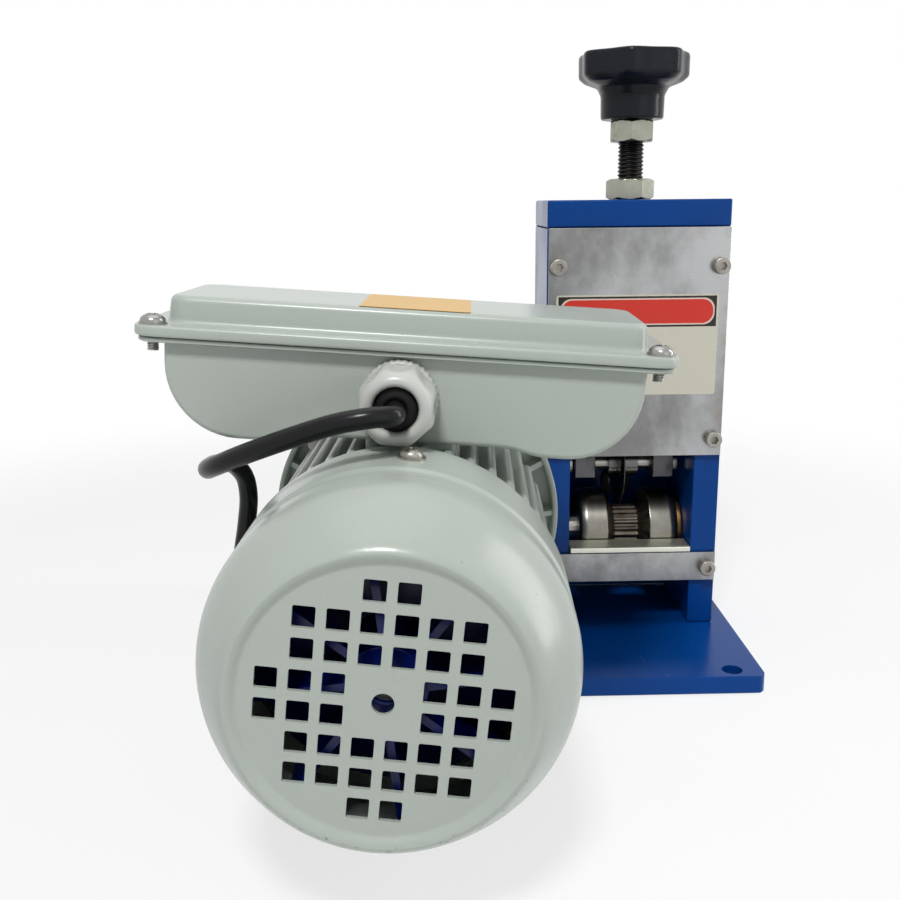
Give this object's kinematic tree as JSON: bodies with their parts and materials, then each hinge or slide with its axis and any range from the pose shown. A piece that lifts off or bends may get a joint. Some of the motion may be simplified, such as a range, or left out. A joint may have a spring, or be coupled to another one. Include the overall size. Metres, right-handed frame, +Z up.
{
  "type": "wire stripping machine",
  "caption": "Bench wire stripping machine: an enamelled head with a feed roller and round blade set by a star knob, driven by a worm gear motor with terminal box and cord.",
  "frame": {"origin": "on the base plate's underside, below the middle of the head's exit face", "axes": "+Z up, -Y the side where the stripped wire comes out (the pictured side), +X to the right seen from there"},
  "size_m": [0.2381, 0.5029, 0.2722],
  "materials": {
    "blue": "gloss enamel",
    "plate": "polished, faintly scratched",
    "screw": "zinc plated",
    "roller": "ground",
    "steel": "bright turned",
    "blade": "hardened, dark",
    "carriage": "milled, oiled",
    "rod": "black oxide thread",
    "nut": "zinc plated",
    "knob": "black phenolic",
    "bronze": "bronze",
    "gear": "painted grey",
    "motor": "grey enamel",
    "stator": "laminated core with wound ends",
    "rotor": "laminated core",
    "fan": "moulded, dark blue",
    "capacitor": "white can",
    "gland": "pale grey nylon",
    "rubber": "black",
    "cord": "black, semi-gloss",
    "switch": "black",
    "rocker": "red"
  },
  "bodies": {
    "frame": {"base_plate": "blue", "box_lid": "motor", "capacitor_1": "capacitor", "capacitor_2": "capacitor", "cord": "cord", "cord_coil": "cord", "cover_plate": "plate", "cover_screw_1": "screw", "cover_screw_2": "screw", "cover_screw_3": "screw", "cover_screw_4": "screw", "drive_end_shield": "motor", "exit_tray": "plate", "fan_cover": "motor", "fan_cover_screw": "screw", "gearbox_adapter": "gear", "gearbox_housing": "gear", "gearbox_side_cover": "gear", "gland_body": "gland", "gland_nut": "gland", "gland_seal": "rubber", "infeed_plate": "blue", "infeed_screw_1": "screw", "infeed_screw_2": "screw", "lid_screw_1": "screw", "lid_screw_2": "screw", "lid_screw_3": "screw", "lid_screw_4": "screw", "lower_strip": "plate", "motor_frame": "motor", "plug": "cord", "plug_pin_1": "nut", "plug_pin_2": "nut", "rear_end_shield": "motor", "roller_bush_left": "bronze", "roller_bush_right": "bronze", "side_plate_left": "blue", "side_plate_right": "blue", "stator": "stator", "strip_screw_1": "screw", "strip_screw_2": "screw", "switch_body": "switch", "terminal_box": "motor", "top_plate": "blue"},
    "rotor": {"rotor_shaft": "steel", "rotor_core": "rotor", "cooling_fan": "fan", "worm": "steel"},
    "wheel": {"output_shaft": "steel", "worm_wheel": "bronze"},
    "roller": {"feed_roller": "roller", "roller_shaft": "steel"},
    "carriage": {"blade_carriage": "carriage", "blade_axle": "steel"},
    "blade": {"blade_disc": "blade"},
    "adjuster": {"adjusting_screw": "rod", "knob": "knob", "knob_nut": "nut"},
    "lock_nut": {"lock_nut": "nut"},
    "rocker": {"rocker": "rocker"}
  },
  "joints": [
    {"name": "motor_spin", "type": "hinge", "parent": "frame", "child": "rotor", "pos_m": [-0.09696, 0.03283, 0.078], "axis": [0.0436, 0.999, 0], "continuous": true},
    {"name": "wheel_spin", "type": "hinge", "parent": "frame", "child": "wheel", "pos_m": [-0.055, 0.031, 0.048], "axis": [0.999, -0.0436, 0], "continuous": true},
    {"name": "roller_spin", "type": "hinge", "parent": "frame", "child": "roller", "pos_m": [0, 0.031, 0.048], "axis": [1, 0, 0], "continuous": true},
    {"name": "carriage_slide", "type": "slide", "parent": "frame", "child": "carriage", "axis": [0, 0, 1], "range_m": [0, 0.021]},
    {"name": "blade_spin", "type": "hinge", "parent": "carriage", "child": "blade", "pos_m": [0, 0.029, 0.082], "axis": [1, 0, 0], "continuous": true},
    {"name": "knob_turn", "type": "hinge", "parent": "carriage", "child": "adjuster", "pos_m": [0, 0.026, 0.2], "axis": [0, 0, 1], "range_deg": [0, 4320]},
    {"name": "lock_nut_turn", "type": "hinge", "parent": "frame", "child": "lock_nut", "pos_m": [0, 0.026, 0.2083], "axis": [0, 0, 1], "range_deg": [0, 60]},
    {"name": "rocker_tilt", "type": "hinge", "parent": "frame", "child": "rocker", "pos_m": [-0.08016, -0.08071, 0.14525], "axis": [-0.9966, 0.0435, 0.0698], "range_deg": [0, 16]}
  ],
  "couplings": [
    {"joint": "wheel_spin", "follows": "motor_spin", "ratio": 0.033333},
    {"joint": "roller_spin", "follows": "motor_spin", "ratio": 0.033333},
    {"joint": "knob_turn", "follows": "carriage_slide", "rad_per_m": 3590.4}
  ]
}
